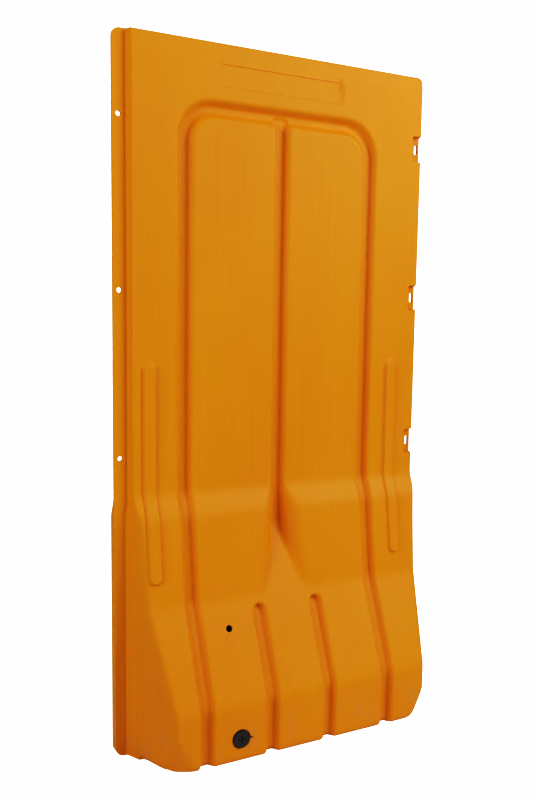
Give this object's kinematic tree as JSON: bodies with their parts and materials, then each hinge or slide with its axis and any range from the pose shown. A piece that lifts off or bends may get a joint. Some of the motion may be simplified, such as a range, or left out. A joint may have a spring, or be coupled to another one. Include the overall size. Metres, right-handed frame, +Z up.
{
  "type": "water filled barrier",
  "caption": "Tall hollow hoarding barrier with a wide water base, arched sunk channels, a bolting flange, a slotted lap edge and a screw-in drain plug.",
  "frame": {"origin": "middle of the footprint on the ground, on the mould's parting plane", "axes": "+X along the barrier from the flange towards the lap edge, +Y towards the rear, +Z up"},
  "size_m": [1, 0.403, 2],
  "materials": {
    "orange_moulding": "satin moulded polyethylene with faint upright flow lines",
    "grey_nylon": "plain moulded nylon",
    "black_rubber": "matt rubber",
    "black_plastic": "fine textured moulded plastic"
  },
  "bodies": {
    "moulding": {"front_shell": "orange_moulding", "rear_shell": "orange_moulding", "front_flange": "orange_moulding", "rear_flange": "orange_moulding", "lap_edge": "orange_moulding", "drain_bush": "grey_nylon"},
    "washer": {"drain_gasket": "black_rubber"},
    "plug": {"drain_plug": "black_plastic"}
  },
  "joints": [
    {"name": "plug_out", "type": "slide", "parent": "moulding", "child": "washer", "axis": [0, -1, 0], "range_m": [0, 0.015]},
    {"name": "plug_turn", "type": "hinge", "parent": "washer", "child": "plug", "pos_m": [-0.1975, -0.203, 0.073], "axis": [0, -1, 0], "range_deg": [0, 1350]}
  ],
  "couplings": [
    {"joint": "plug_out", "follows": "plug_turn", "m_per_rad": 0.00063661}
  ]
}
